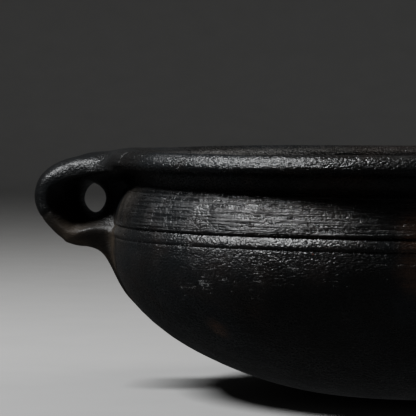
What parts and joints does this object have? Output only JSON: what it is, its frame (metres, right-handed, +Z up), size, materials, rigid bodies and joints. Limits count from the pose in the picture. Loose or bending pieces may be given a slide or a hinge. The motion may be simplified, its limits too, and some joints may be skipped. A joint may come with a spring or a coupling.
{
  "type": "cooking pot",
  "caption": "Wide, low round-bottomed clay cooking pot with a thick rolled rim, a concave neck, a grooved shoulder and an ear with a finger hole on each side.",
  "frame": {"origin": "centre of the flat foot, on the surface the pot stands on", "axes": "+Z up along the pot's axis, X through the two ears, Y across the open side of the bowl"},
  "size_m": [0.372, 0.3, 0.113],
  "materials": {
    "bowl_clay": "burnished black earthenware, semi-gloss, with a fine pitted grain",
    "band_clay": "burnished black earthenware, glossier, with level scrape lines",
    "ear_clay": "smeared black earthenware, satin, browner at the root"
  },
  "bodies": {
    "root": {"base_bowl": "bowl_clay", "shoulder_coil": "band_clay", "wall_band": "band_clay", "neck_coil": "band_clay", "rim_coil": "bowl_clay", "right_ear": "ear_clay", "left_ear": "ear_clay", "right_ear_heel": "ear_clay", "left_ear_heel": "ear_clay", "right_ear_root": "ear_clay", "left_ear_root": "ear_clay"}
  },
  "joints": []
}
